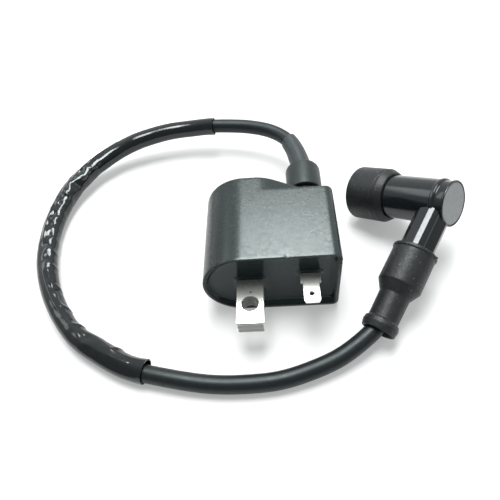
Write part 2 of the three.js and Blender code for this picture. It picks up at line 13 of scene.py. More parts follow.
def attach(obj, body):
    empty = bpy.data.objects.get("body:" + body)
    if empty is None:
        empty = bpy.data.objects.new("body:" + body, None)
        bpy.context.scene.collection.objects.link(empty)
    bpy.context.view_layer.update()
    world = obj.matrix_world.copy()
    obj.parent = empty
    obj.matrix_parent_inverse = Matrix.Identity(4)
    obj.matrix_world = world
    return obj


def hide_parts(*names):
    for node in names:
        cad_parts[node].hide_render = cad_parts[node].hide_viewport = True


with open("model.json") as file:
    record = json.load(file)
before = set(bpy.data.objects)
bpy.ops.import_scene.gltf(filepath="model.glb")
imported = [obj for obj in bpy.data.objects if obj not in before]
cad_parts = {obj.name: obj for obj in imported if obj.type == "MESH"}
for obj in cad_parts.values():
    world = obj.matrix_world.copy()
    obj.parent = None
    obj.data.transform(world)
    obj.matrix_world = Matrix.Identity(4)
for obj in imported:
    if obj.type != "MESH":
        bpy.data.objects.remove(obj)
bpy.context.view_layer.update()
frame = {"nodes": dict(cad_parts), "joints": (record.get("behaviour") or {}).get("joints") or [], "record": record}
MM = 0.001
JOINTS = {joint["name"]: joint for joint in frame["joints"]}

# ---------------------------------------------------------------- camera
CAMERA_PLACE = (-2.961, -123.955, 172.007)
CAMERA_ANGLES = (38.493, 4.754, -0.273)
CAMERA_LENS = 34.38
SENSOR_WIDTH = 36


def make_camera():
    data = bpy.data.cameras.new("camera")
    data.lens = CAMERA_LENS
    data.sensor_width = SENSOR_WIDTH
    data.clip_start = 0.01
    data.clip_end = 20
    camera = bpy.data.objects.new("camera", data)
    bpy.context.scene.collection.objects.link(camera)
    camera.location = Vector(CAMERA_PLACE) * MM
    camera.rotation_euler = Euler([math.radians(a) for a in CAMERA_ANGLES], "XYZ")
    bpy.context.scene.camera = camera


# ---------------------------------------------------------------- sizes
GAP = 0.15

CASE_HEIGHT = 34
CASE_LEFT, CASE_RIGHT = -34, 20
CASE_FRONT, CASE_BACK = -18, 18
CASE_WALL = 1.4
TOP_CORNER, BOTTOM_CORNER = 3.4, 2.8
DRUM_RADIUS = CASE_HEIGHT / 2
DRUM_X = CASE_LEFT + DRUM_RADIUS
HUMP_BACK = 26
HUMP_CROWN_X = -12
TOWER_X, TOWER_Z = 9.8, 17
WEB_RADIUS = 9
NECK_RADIUS, NECK_END = 6, 42
COLLAR_RADIUS, COLLAR_FRONT, COLLAR_BACK = 8, 30, 45.5
GROMMET_RADIUS, GROMMET_SKIN, GROMMET_TIP = 4.65, 4.9, 4.3
GROMMET_STIFFNESS = 0.5
GROMMET_REACH = (10, 38)

RIM_NICK_X, RIM_NICK_WIDTH, RIM_NICK_DEPTH = -0.2, 1.0, 0.4

RESIN_FRONT = -15.8
CORE_X, CORE_WIDTH, CORE_TOP = -15.2, 10.4, 18.75
LAMINATIONS, LAMINATION_THICKNESS, LAMINATION_PITCH = 12, 0.5, 0.55
LEG_END, CORE_END = -36, 21
BOLT_HOLE_Y, BOLT_HOLE_RADIUS = -27.5, 3.3
SPADE_X, SPADE_TOP, SPADE_THICKNESS = 8.2, 21.2, 0.8
SPADE_WIDTH, SPADE_SHOULDER_WIDTH = 6.3, 7.9
SPADE_END, SPADE_SHOULDER, SPADE_TAIL = -29.7, -20.9, -14.6
SPADE_HOLE_Y, SPADE_HOLE_RADIUS = -25.7, 0.95

LEAD_RADIUS = 3.5
SLEEVE_WALL, SLEEVE_SNUG = 0.5, 4.25
SLEEVE_REACH = (82.4, 297.9)
SLEEVE_REST = 0.05
SLEEVE_INNER_ANGLE = 0.35
SLEEVE_FLARE = 0.35
POCKET_PITCH, POCKETS_ROUND, POCKET_SCATTER = 7, 5, 0.42
# (along the lead, value): how far the slack skin stands off on the inside of the bend, and how crumpled
# it is
SLEEVE_INNER_REACH = [
    (82, 4.7), (100, 4.3), (112, 4.8), (127, 5.35), (140, 5), (152, 5.3), (163, 6.5), (172, 6.2), (185, 5.8),
    (200, 5.4), (217, 5.3), (226, 4.8), (236, 4.2), (255, 4), (263, 4.6), (271, 5.5), (282, 5.5), (290, 5),
    (298, 4.9),
]
SLEEVE_CRUMPLE = [
    (82, 0), (132, 0.02), (146, 0.3), (160, 1), (178, 0.9), (205, 0.75), (220, 0.35), (235, 0.2),
    (258, 0.3), (268, 0.55), (278, 0.35), (288, 0.08), (298, 0),
]
SLEEVE_CRUMPLED_ANGLE = 0.85
# (start, end along the lead, angle at the start, angle at the end, height, width): ridges, or grooves
# where the height is negative
SLEEVE_FOLDS = [
    (84, 150, 2.15, 1.8, 0.22, 0.2), (134, 166, 1.95, 1.6, 0.55, 0.16), (153, 161, 0.4, 2.2, 0.5, 0.3),
    (165, 172, 2.2, 1, 0.5, 0.25), (171, 177, 2, 0.9, 0.6, 0.3), (176, 207, 1.95, 1.75, 0.65, 0.16),
    (210, 215, 1.5, 0.2, 0.5, 0.3), (219, 224, 1.5, 0.2, 0.45, 0.3), (220, 267, 1.75, 1.35, 0.42, 0.16),
    (226, 252, 1.15, 1, 0.25, 0.18), (233, 238, 1, -0.2, 0.4, 0.3), (246, 251, 1, -0.2, 0.45, 0.3),
    (258, 263, 1.2, -0.2, 0.55, 0.3), (281, 286, 1, -0.2, 0.45, 0.3), (270, 297, 2.2, 2.4, -0.35, 0.3),
    (264, 292, 1.75, 1.45, 0.35, 0.28), (278, 298, 1.1, 0.9, 0.3, 0.2),
]
# (along the lead, angle, half length, half width as an angle, depth): hollows pressed into the skin
SLEEVE_DENTS = [
    (160, 1.5, 3.2, 0.45, 1.1), (168, 0.6, 3, 0.5, 0.9), (177, 1.4, 1.8, 0.3, 0.7),
    (183, 1.25, 2.6, 0.33, 0.8), (189.5, 1.3, 2.4, 0.33, 0.8), (196, 1.25, 2.5, 0.33, 0.8),
    (203, 1.2, 2.4, 0.35, 0.8), (209, 1.4, 3, 0.5, 0.9), (217, 1.3, 2.6, 0.45, 0.7),
    (243, 0.7, 4, 0.35, 0.4), (256, 0.7, 3.5, 0.35, 0.4), (269, 1.1, 4, 0.4, 0.7),
    (276, 1.6, 3, 0.3, 0.3),
]
LEAD_ROUTE = [
    (9.8, 31.3, 17), (9.8, 36, 17), (9.8, 41, 17), (9.8, 45, 17),
    (9.3, 55, 17), (7.5, 62.5, 17), (4.5, 68.5, 17), (0, 74, 17),
    (-6, 78.5, 17), (-16, 83, 16.5), (-26, 85.5, 16), (-36, 87, 15.5),
    (-47, 87.5, 14.5), (-58, 87, 14), (-68, 85.5, 13), (-77, 83, 12),
    (-85, 79.5, 10.5), (-93, 74, 9), (-100, 67.5, 8), (-106, 59.5, 7),
    (-110, 50.5, 6), (-112.5, 40, 5), (-113, 27, 4.6), (-110.5, 9.5, 4.6),
    (-104.5, -6, 4.6), (-96, -20, 4.6), (-86, -31.5, 4.6), (-76, -38.5, 4.6),
    (-64, -45, 4.6), (-46, -50, 4.5), (-31, -52.5, 4), (-18, -53, 4),
    (-5.5, -52, 4), (6, -49, 4.5), (17, -44.5, 5), (26.5, -38.5, 6.5),
    (32.5, -33.5, 8),
]
LEAD_IN_LEG = (-48, -32, -16)

# the cap's own frame: X along the barrel towards the disc, -Y down the leg towards the lead
CAP_ELBOW = np.array(JOINTS["cap_turn"]["pos_m"]) / MM
CAP_Y = np.array(JOINTS["cap_turn"]["axis"], float)
CAP_X = -np.array(JOINTS["plug_boot_pull"]["axis"], float)
CAP_Z = np.cross(CAP_X, CAP_Y)
BARREL_RADIUS, BARREL_BORE = 9.35, 7.2
BARREL_MOUTH, BARREL_BORE_END, BARREL_END = -31, -12, 6.2
CHAMBER_RADIUS, CHAMBER_START = 4, -10.5
CONTACT_BORE = 1.6
END_RING_RADIUS, END_NECK_RADIUS = 9.75, 9
DISC_RADIUS, DISC_FRONT, DISC_BACK = 8.55, 6.1, 5.1
LEG_RADIUS, LEG_LENGTH = 6.8, 37
LEG_EDGE_ANGLES = (-4, 42, 64, 82, 115, 146)
LEG_BORE = 3.95
PLUG_BOOT_RADIUS, PLUG_BOOT_MOUTH, PLUG_BOOT_BACK = 11.75, -39.7, -21.1
PLUG_BOOT_LIP, PLUG_BOOT_CAVITY = 6.6, 8
CABLE_BOOT_RADIUS, CABLE_BOOT_SMALL, CABLE_BOOT_FLANGE = 8.6, 6.05, 6.9
CABLE_BOOT_BACK, CABLE_BOOT_MOUTH = -23.6, -59.2

rng = np.random.default_rng(7)


# ---------------------------------------------------------------- curves
def catmull_rom(points, per_span=40):
    """A centripetal Catmull-Rom curve through the points, with its ends mirrored, as many close points."""
    knots = np.array(points, float)
    knots = np.vstack([2 * knots[0] - knots[1], knots, 2 * knots[-1] - knots[-2]])
    line = []
    for p0, p1, p2, p3 in zip(knots, knots[1:], knots[2:], knots[3:]):
        d0, d1, d2 = (math.sqrt(np.linalg.norm(b - a)) for a, b in ((p0, p1), (p1, p2), (p2, p3)))
        m1 = d1 * ((p1 - p0) / d0 - (p2 - p0) / (d0 + d1) + (p2 - p1) / d1)
        m2 = d1 * ((p2 - p1) / d1 - (p3 - p1) / (d1 + d2) + (p3 - p2) / d2)
        t = np.linspace(0, 1, per_span, endpoint=False)[:, None]
        line.append(
            (2 * t**3 - 3 * t**2 + 1) * p1 + (t**3 - 2 * t**2 + t) * m1
            + (3 * t**2 - 2 * t**3) * p2 + (t**3 - t**2) * m2
        )
    return np.vstack([*line, knots[-2]])


LEAD_LINE = catmull_rom([*LEAD_ROUTE, *(CAP_ELBOW + along * CAP_Y for along in LEAD_IN_LEG)])
LEAD_ALONG = np.concatenate([[0], np.cumsum(np.linalg.norm(np.diff(LEAD_LINE, axis=0), axis=1))])
LEAD_LENGTH = LEAD_ALONG[-1]


def lead_points(along):
    return np.stack([np.interp(along, LEAD_ALONG, LEAD_LINE[:, k]) for k in range(3)], 1)


def lead_frames(along):
    """Points on the lead's centreline, with the directions towards the inside of its bend and upwards."""
    points = lead_points(along)
    tangent = lead_points(np.minimum(along + 0.5, LEAD_LENGTH)) - lead_points(np.maximum(along - 0.5, 0))
    tangent /= np.linalg.norm(tangent, axis=1)[:, None]
    inward = np.cross((0, 0, 1), tangent)
    inward /= np.linalg.norm(inward, axis=1)[:, None]
    return points, inward, np.cross(tangent, inward)


# ---------------------------------------------------------------- mesh helpers
def filleted(points, radius, steps=4, closed=False):
    """A polyline with its corners rounded. radius is one number, or one for each point."""
    points = [Vector(p) for p in points]
    count = len(points)
    radii = radius if hasattr(radius, "__len__") else [radius] * count
    result = []
    for i, point in enumerate(points):
        if not closed and i in (0, count - 1):
            result.append(point)
            continue
        before = points[i - 1] - point
        after = points[(i + 1) % count] - point
        turn = math.pi - before.angle(after)
        if turn < 0.02 or radii[i] <= 0:
            result.append(point)
            continue
        reach = min(radii[i] * math.tan(turn / 2), 0.49 * before.length, 0.49 * after.length)
        start = point + before.normalized() * reach
        end = point + after.normalized() * reach
        for k in range(steps + 1):
            t = k / steps
            result.append(start * (1 - t) ** 2 + point * 2 * t * (1 - t) + end * t**2)
    return result


def arc(x, z, radius, start, end, steps):
    angles = np.radians(np.linspace(start, end, steps + 1))
    return np.stack([x + radius * np.cos(angles), z + radius * np.sin(angles)], 1)


def add_piece(name, vertices, faces, material, body, replaced=(), slot=None, sharp=35):
    """A mesh object from points in millimetres, with smooth faces and sharp edges past an angle."""
    mesh = bpy.data.meshes.new(name)
    mesh.from_pydata([tuple(v) for v in np.array(vertices, float) * MM], [], [tuple(f) for f in faces])
    work = bmesh.new()
    work.from_mesh(mesh)
    bmesh.ops.remove_doubles(work, verts=work.verts, dist=1e-7)
    bmesh.ops.dissolve_degenerate(work, edges=work.edges, dist=1e-7)
    bmesh.ops.recalc_face_normals(work, faces=work.faces)
    work.to_mesh(mesh)
    work.free()
    mesh.shade_smooth()
    mesh.set_sharp_from_angle(angle=math.radians(sharp))
    mesh.materials.append(material)
    piece = bpy.data.objects.new(name, mesh)
    bpy.context.scene.collection.objects.link(piece)
    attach(piece, body)
    if replaced:
        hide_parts(*replaced)
    return piece


class Build:
    """Vertices and faces of one piece, gathered shell by shell."""

    def __init__(self):
        self.vertices = []
        self.faces = []

    def loft(self, loops, cap_start=True, cap_end=True, round_trip=False):
        """Quads between loops of the same count, each loop closed on itself."""
        first = len(self.vertices)
        count = len(loops[0])
        for loop in loops:
            self.vertices.extend(np.array(loop, float))
        pairs = list(zip(range(len(loops) - 1), range(1, len(loops))))
        if round_trip:
            pairs.append((len(loops) - 1, 0))
        for a, b in pairs:
            for i in range(count):
                j = (i + 1) % count
                here, there = first + a * count, first + b * count
                self.faces.append((here + i, here + j, there + j, there + i))
        if cap_start and not round_trip:
            self.faces.append(tuple(first + i for i in range(count)))
        if cap_end and not round_trip:
            self.faces.append(tuple(first + (len(loops) - 1) * count + i for i in range(count)))
        return self

    def lathe(self, profile, place, along, out, side, segments=64, closed=True):
        """A turned shell. The profile's points are (distance along the axis, radius)."""
        angles = np.linspace(0, 2 * math.pi, segments, endpoint=False)
        spokes = np.cos(angles)[:, None] * np.array(out) + np.sin(angles)[:, None] * np.array(side)
        loops = [np.array(place) + p[0] * np.array(along) + p[1] * spokes for p in profile]
        return self.loft(loops, round_trip=closed, cap_start=not closed, cap_end=not closed)

    def piece(self, name, material, body, **words):
        return add_piece(name, self.vertices, self.faces, material, body, **words)


def offset_loop(loop, distance):
    """A closed XY loop moved inwards along its own normals."""
    loop = np.array(loop, float)
    tangent = np.roll(loop, -1, 0) - np.roll(loop, 1, 0)
    tangent /= np.linalg.norm(tangent, axis=1)[:, None]
    area = 0.5 * np.sum(loop[:, 0] * np.roll(loop[:, 1], -1) - np.roll(loop[:, 0], -1) * loop[:, 1])
    inward = np.stack([-tangent[:, 1], tangent[:, 0]], 1) * (1 if area > 0 else -1)
    return loop + inward * distance


def plate_shell(build, outline, hole, bottom, top, edge):
    """A plate with a hole and rounded edges: outline and hole are XY loops, bottom and top are heights."""
    outline, hole = np.array(outline, float), np.array(hole, float)
    levels = [(bottom, edge), (bottom + edge * 0.3, edge * 0.3), (bottom + edge, 0),
              (top - edge, 0), (top - edge * 0.3, edge * 0.3), (top, edge)]
    for loop, sign in ((outline, 1), (hole, -1)):
        loops = []
        for z, inset in levels:
            flat = offset_loop(loop, sign * inset)
            loops.append(np.column_stack([flat, np.full(len(flat), z)]))
        build.loft(loops, cap_start=False, cap_end=False)
    for z in (bottom, top):
        outer = offset_loop(outline, edge)
        inner = offset_loop(hole, -edge)
        flat = np.vstack([outer, inner])
        first = len(build.vertices)
        build.vertices.extend(np.column_stack([flat, np.full(len(flat), z)]))
        rings = [[Vector((x, y, 0)) for x, y in ring] for ring in (outer, inner)]
        build.faces.extend(tuple(first + i for i in face) for face in tessellate_polygon(rings))


# ---------------------------------------------------------------- materials
SPOT_CORE = 0.3  # the share of a spot's radius that is full strength


class Material:
    """A Principled material under construction. Coordinates are the object's own, in millimetres."""

    def __init__(self, name, colour, roughness, metallic=0.0, **sockets):
        self.made = bpy.data.materials.new(name)
        self.made.use_nodes = True
        self.tree = self.made.node_tree
        self.shader = self.tree.nodes["Principled BSDF"]
        self.shader.inputs["Base Color"].default_value = (*colour, 1)
        self.shader.inputs["Roughness"].default_value = roughness
        self.shader.inputs["Metallic"].default_value = metallic
        for socket, value in sockets.items():
            self.shader.inputs[socket.replace("_", " ").title()].default_value = value
        coordinates = self.node("ShaderNodeTexCoord")
        scale = self.node("ShaderNodeVectorMath", operation="SCALE")
        scale.inputs["Scale"].default_value = 1 / MM
        self.link(coordinates.outputs["Object"], scale.inputs[0])
        self.place = scale.outputs[0]
        self.height = None

    def node(self, kind, **settings):
        made = self.tree.nodes.new(kind)
        for key, value in settings.items():
            setattr(made, key, value)
        return made

    def link(self, output, socket):
        self.tree.links.new(output, socket)

    def stretched(self, scale, turn=(0, 0, 0)):
        mapping = self.node("ShaderNodeMapping")
        mapping.inputs["Scale"].default_value = scale
        mapping.inputs["Rotation"].default_value = turn
        self.link(self.place, mapping.inputs["Vector"])
        return mapping.outputs[0]

    def noise(self, size, detail=3.0, roughness=0.55, place=None, distortion=0.0):
        """Noise whose features are about size millimetres, from 0 to 1."""
        made = self.node("ShaderNodeTexNoise")
        made.inputs["Scale"].default_value = 1 / size
        made.inputs["Detail"].default_value = detail
        made.inputs["Roughness"].default_value = roughness
        made.inputs["Distortion"].default_value = distortion
        self.link(place or self.place, made.inputs["Vector"])
        return made.outputs["Fac"]

    def spots(self, size, radius):
        """1 in small round spots, one for each cell of about size millimetres, and 0 between them."""
        cells = self.node("ShaderNodeTexVoronoi")
        cells.inputs["Scale"].default_value = 1 / size
        self.link(self.place, cells.inputs["Vector"])
        return self.ramp(cells.outputs["Distance"], radius, radius * SPOT_CORE)

    def ramp(self, value, low, high, to_low=0.0, to_high=1.0):
        made = self.node("ShaderNodeMapRange", interpolation_type="SMOOTHSTEP")
        flip = low > high
        made.inputs["From Min"].default_value = high if flip else low
        made.inputs["From Max"].default_value = low if flip else high
        made.inputs["To Min"].default_value = to_high if flip else to_low
        made.inputs["To Max"].default_value = to_low if flip else to_high
        self.link(value, made.inputs["Value"])
        return made.outputs["Result"]

    def multiply(self, a, b):
        made = self.node("ShaderNodeMath", operation="MULTIPLY")
        for value, socket in zip((a, b), made.inputs):
            if isinstance(value, (int, float)):
                socket.default_value = value
            else:
                self.link(value, socket)
        return made.outputs[0]

    def add(self, a, b):
        made = self.node("ShaderNodeMath", operation="ADD", use_clamp=True)
        self.link(a, made.inputs[0])
        self.link(b, made.inputs[1])
        return made.outputs[0]

    def tint(self, factor, colour):
        """Mixes a colour over what the base colour is now."""
        mix = self.node("ShaderNodeMix", data_type="RGBA")
        base = self.shader.inputs["Base Color"]
        if base.links:
            self.link(base.links[0].from_socket, mix.inputs["A"])
        else:
            mix.inputs["A"].default_value = base.default_value
        mix.inputs["B"].default_value = (*colour, 1)
        self.link(factor, mix.inputs["Factor"])
        self.link(mix.outputs["Result"], base)

    def gloss(self, factor, low, high):
        """Roughness from low to high as the factor goes from 0 to 1."""
        self.link(self.ramp(factor, 0, 1, low, high), self.shader.inputs["Roughness"])

    def shine(self, level, tint=(1, 1, 1)):
        """How strongly the surface mirrors, 0.5 being plain plastic, and the mirrored light's tint."""
        self.shader.inputs["Specular IOR Level"].default_value = level
        self.shader.inputs["Specular Tint"].default_value = (*tint, 1)

    def axis(self, letter):
        split = self.node("ShaderNodeSeparateXYZ")
        self.link(self.place, split.inputs[0])
        return split.outputs[letter]

    def mark(self, place, radius):
        """1 within a radius of one point, and 0 outside."""
        gap = self.node("ShaderNodeVectorMath", operation="DISTANCE")
        self.link(self.place, gap.inputs[0])
        gap.inputs[1].default_value = place
        return self.ramp(gap.outputs["Value"], radius, radius * 0.5)

    def bump(self, height, depth):
        """Adds relief depth millimetres deep, under the relief that is there already."""
        made = self.node("ShaderNodeBump")
        made.inputs["Distance"].default_value = depth * MM
        made.inputs["Strength"].default_value = 1.0
        self.link(height, made.inputs["Height"])
        normal = self.shader.inputs["Normal"]
        if normal.links:
            self.link(normal.links[0].from_socket, made.inputs["Normal"])
        self.link(made.outputs["Normal"], normal)


COOL = (0.84, 1, 0.99)


def case_plastic():
    m = Material("case_plastic", (0.0125, 0.0165, 0.017), 0.3)
    m.shine(0.5, (0.88, 1, 0.99))
    m.link(m.ramp(m.axis("X"), -26, -16, 0.23, 0.5), m.shader.inputs["Specular IOR Level"])
    grained = m.ramp(m.axis("X"), -22, -15, 0.3, 1)
    m.tint(m.ramp(m.noise(9, 4), 0.35, 0.75, 0, 0.5), (0.018, 0.0225, 0.023))
    m.tint(m.multiply(m.spots(2.3, 0.06), m.ramp(m.noise(5, 2), 0.55, 0.75)), (0.16, 0.18, 0.18))
    m.gloss(m.noise(1.4, 6, 0.72), 0.17, 0.38)
    pits = m.multiply(m.spots(2.4, 0.1), m.ramp(m.noise(6, 2), 0.45, 0.6))
    m.bump(m.ramp(pits, 0, 1, 1, 0), 0.05)
    scratches = m.noise(0.5, 2, 0.5, place=m.stretched((0.05, 1.6, 1.6), (0, 0, 0.5)))
    m.bump(m.multiply(m.noise(1.1, 6, 0.72), grained), 0.022)
    m.bump(m.noise(4, 3), 0.02)
    m.bump(m.ramp(scratches, 0.66, 0.76), 0.025)
    smears = m.noise(2.2, 5, 0.7, place=m.stretched((0.45, 1, 1), (0, 0, 0.4)), distortion=0.6)
    m.bump(smears, 0.018)
    return m.made


def resin():
    m = Material("potting_resin", (0.0098, 0.0152, 0.017), 0.1)
    m.shine(0.3, COOL)
    m.tint(m.ramp(m.noise(6, 3), 0.4, 0.8, 0, 0.6), (0.0125, 0.018, 0.0198))
    m.tint(m.multiply(m.spots(2.3, 0.05), m.ramp(m.noise(4, 2), 0.5, 0.62)), (0.08, 0.085, 0.085))
    m.gloss(m.noise(3, 4), 0.06, 0.18)
    m.bump(m.noise(4.5, 2), 0.06)
    m.bump(m.noise(0.5, 2), 0.004)
    return m.made


def plated_steel():
    """Zinc plate on the laminations, with rolling lines, dull near the resin and on the cut end; painted darker
    near the resin as a reflection of the dark resin face, and in the bolt hole as shade.
    """
    m = Material("core_steel", (0.72, 0.725, 0.7), 0.2, 1.0)
    along = m.axis("Y")
    m.tint(m.ramp(m.noise(1.4, 4), 0.5, 0.8, 0, 0.5), (0.58, 0.58, 0.55))
    # painted reflection: darker towards the resin, standing in for the dark resin face mirrored in the metal
    m.tint(m.ramp(along, -30, -24.5, 0, 0.85), (0.24, 0.25, 0.23))
    m.tint(m.ramp(along, LEG_END + 0.12, LEG_END + 0.03), (0.42, 0.425, 0.41))
    # painted shade: the bolt hole's wall is darkened as a recess out of the light
    bore = m.node("ShaderNodeVectorMath", operation="DISTANCE")
    m.link(m.stretched((1, 1, 0)), bore.inputs[0])
    bore.inputs[1].default_value = (CORE_X, BOLT_HOLE_Y, 0)
    painted_bore_shade = m.ramp(bore.outputs["Value"], BOLT_HOLE_RADIUS + 0.12, BOLT_HOLE_RADIUS + 0.04)
    m.tint(painted_bore_shade, (0.16, 0.165, 0.155))
    m.link(m.ramp(along, -28.5, -22, 1, 0.5), m.shader.inputs["Metallic"])
    lines = m.noise(0.22, 3, 0.6, place=m.stretched((1, 0.06, 1)))
    dull = m.add(m.ramp(along, -29.5, -25.5, 0, 0.2), m.ramp(along, LEG_END + 0.12, LEG_END + 0.03))
    m.gloss(m.add(m.multiply(lines, 0.3), dull), 0.15, 0.45)
    grain = m.ramp(m.noise(0.5, 5, 0.75), 0.48, 0.62)
    m.tint(m.multiply(m.ramp(along, -24, -17.5), grain), (0.16, 0.165, 0.145))
    m.tint(m.multiply(m.ramp(along, LEG_END + 0.12, LEG_END + 0.03), grain), (0.18, 0.18, 0.17))
    m.tint(m.mark((CORE_X + 0.2, BOLT_HOLE_Y + 5.2, CORE_TOP), 0.55), (0.05, 0.05, 0.045))
    m.bump(lines, 0.006)
    m.bump(m.noise(0.6, 4), 0.01)
    return m.made


def tin_plate():
    m = Material("tinned_brass", (0.78, 0.78, 0.75), 0.22, 1.0)
    along = m.axis("Y")
    m.tint(m.ramp(m.noise(0.9, 4), 0.5, 0.8, 0, 0.4), (0.64, 0.62, 0.57))
    # painted reflection: darker towards the resin, standing in for the dark resin face mirrored in the tin
    m.tint(m.ramp(along, -26, -20.5, 0, 0.8), (0.28, 0.29, 0.27))
    m.link(m.ramp(along, -23.5, -19.5, 1, 0.45), m.shader.inputs["Metallic"])
    lines = m.noise(0.16, 3, 0.6, place=m.stretched((1, 0.08, 1)))
    m.gloss(m.add(m.multiply(lines, 0.25), m.ramp(along, -29.5, -24)), 0.2, 0.4)
    grain = m.ramp(m.noise(0.4, 5, 0.75), 0.48, 0.6)
    m.tint(m.multiply(m.ramp(along, -22, -16.5), grain), (0.16, 0.16, 0.14))
    m.bump(lines, 0.005)
    return m.made


def rubber(name, tint, dust, painted_lightness=1):
    """Moulded rubber: grained, with pale dust on it. dust goes from 0 to 1. The last argument scales the base
    colours: above 1 it is painted light, a paler copy of the rubber.
    """
    m = Material(name, tuple(painted_lightness * c for c in (0.009, 0.0105, 0.0112)), 0.5)
    m.shine(0.46 - 0.13 * dust, tint)
    m.tint(m.ramp(m.noise(3, 4), 0.4, 0.8, 0, 0.6), tuple(painted_lightness * c for c in (0.015, 0.0165, 0.0175)))
    fine = m.multiply(m.spots(0.9, 0.16), m.ramp(m.noise(2.6, 3), 0.62 - 0.22 * dust, 0.7))
    m.tint(fine, (0.26, 0.27, 0.275))
    coarse = m.multiply(m.spots(2.1, 0.11), m.ramp(m.noise(6, 2), 0.6 - 0.25 * dust, 0.65))
    m.tint(coarse, (0.34, 0.35, 0.35))
    m.gloss(m.noise(1.2, 4), 0.34, 0.56)
    m.bump(m.noise(0.3, 4, 0.7), 0.03)
    m.bump(m.noise(1.6, 4, 0.6), 0.04 + 0.1 * dust)
    return m.made


def lead_jacket():
    m = Material("lead_jacket", (0.006, 0.0078, 0.0088), 0.4)
    m.shine(0.32, (0.88, 0.99, 1))
    m.tint(m.ramp(m.noise(5, 4), 0.4, 0.8, 0, 0.5), (0.0095, 0.0118, 0.0128))
    m.tint(m.multiply(m.spots(1.9, 0.07), m.ramp(m.noise(4, 2), 0.5, 0.66)), (0.16, 0.17, 0.17))
    m.gloss(m.noise(2.5, 4), 0.33, 0.48)
    m.bump(m.noise(0.4, 3), 0.015)
    m.bump(m.noise(2.5, 2), 0.03)
    return m.made


def vinyl():
    m = Material("vinyl_sleeve", (0.0045, 0.0052, 0.0058), 0.1)
    m.shine(0.5, (0.93, 1, 1))
    m.tint(m.ramp(m.noise(4, 4), 0.45, 0.8, 0, 0.5), (0.008, 0.009, 0.0098))
    m.gloss(m.noise(3, 4), 0.08, 0.18)
    m.bump(m.noise(2.2, 2), 0.02)
    m.bump(m.noise(0.3, 3), 0.003)
    return m.made


def bakelite():
    m = Material("bakelite", (0.0075, 0.009, 0.0102), 0.16)
    m.shine(0.48, (0.94, 0.98, 1))
    m.tint(m.ramp(m.noise(3, 4), 0.45, 0.8, 0, 0.5), (0.0112, 0.0128, 0.0142))
    m.tint(m.multiply(m.spots(1.4, 0.07), m.ramp(m.noise(4, 2), 0.54, 0.66)), (0.13, 0.13, 0.13))
    m.gloss(m.noise(1.6, 4), 0.1, 0.22)
    m.bump(m.noise(1.5, 3), 0.014)
    m.bump(m.noise(0.25, 3), 0.004)
    return m.made


def epoxy():
    m = Material("epoxy_disc", (0.235, 0.25, 0.255), 0.6)
    m.tint(m.ramp(m.noise(2.6, 4), 0.35, 0.75, 0, 0.7), (0.2, 0.213, 0.218))
    m.tint(m.multiply(m.spots(0.9, 0.1), m.ramp(m.noise(2, 2), 0.5, 0.65)), (0.12, 0.125, 0.13))
    m.gloss(m.noise(0.8, 4), 0.5, 0.7)
    m.bump(m.noise(0.35, 4, 0.7), 0.03)
    return m.made


def plain_metal(name, colour, roughness):
    m = Material(name, colour, roughness, 1.0)
    m.tint(m.ramp(m.noise(0.7, 4), 0.45, 0.8, 0, 0.5), tuple(0.7 * c for c in colour))
    m.gloss(m.noise(0.5, 4), roughness * 0.7, roughness * 1.4)
    m.bump(m.noise(0.25, 3), 0.006)
    return m.made


def wound_wire(name):
    """Enamelled wire in layers, wound round the core's axis, with painted shade in the grooves between the turns.
    """
    m = Material(name, (0.42, 0.16, 0.06), 0.3, 1.0)
    turns = m.node("ShaderNodeTexWave", wave_type="BANDS", bands_direction="Y")
    turns.inputs["Scale"].default_value = 1.4
    turns.inputs["Distortion"].default_value = 0.3
    m.link(m.place, turns.inputs["Vector"])
    # painted shade: darker in the grooves between the turns
    m.tint(m.ramp(turns.outputs["Fac"], 0.1, 0.5, 0.7, 0), (0.12, 0.04, 0.015))
    m.gloss(m.noise(0.8, 3), 0.22, 0.4)
    m.bump(turns.outputs["Fac"], 0.1)
    return m.made


def nylon():
    m = Material("bobbin_nylon", (0.6, 0.55, 0.44), 0.45, subsurface_weight=0.1)
    m.tint(m.ramp(m.noise(3, 4), 0.4, 0.8, 0, 0.5), (0.5, 0.45, 0.34))
    m.gloss(m.noise(1.5, 4), 0.36, 0.56)
    m.bump(m.noise(0.5, 4), 0.02)
    return m.made


def ceramic():
    m = Material("resistor_ceramic", (0.66, 0.62, 0.52), 0.5)
    m.tint(m.ramp(m.noise(1.2, 4), 0.45, 0.8, 0, 0.5), (0.5, 0.46, 0.38))
    m.gloss(m.noise(0.9, 4), 0.4, 0.6)
    m.bump(m.noise(0.3, 4), 0.02)
    return m.made


MATERIALS = {
    "case_plastic": case_plastic(),
    "potting_resin": resin(),
    "core_steel": plated_steel(),
    "tinned_brass": tin_plate(),
    "black_rubber": rubber("black_rubber", COOL, 0.15),
    # the tube's rubber: the collar's rubber made 2.2 times paler as painted light for the light the tube catches,
    # with more dust
    "tube_rubber": rubber("tube_rubber", COOL, 0.3, 2.2),
    "boot_rubber": rubber("boot_rubber", (0.95, 0.98, 1), 1.0),
    "lead_jacket": lead_jacket(),
    "vinyl_sleeve": vinyl(),
    "bakelite": bakelite(),
    "epoxy_disc": epoxy(),
    "brass": plain_metal("brass", (0.62, 0.46, 0.2), 0.3),
    "spring_steel": plain_metal("spring_steel", (0.6, 0.6, 0.57), 0.3),
    "copper_wire": wound_wire("copper_wire"),
    "bobbin_nylon": nylon(),
    "resistor_ceramic": ceramic(),
}


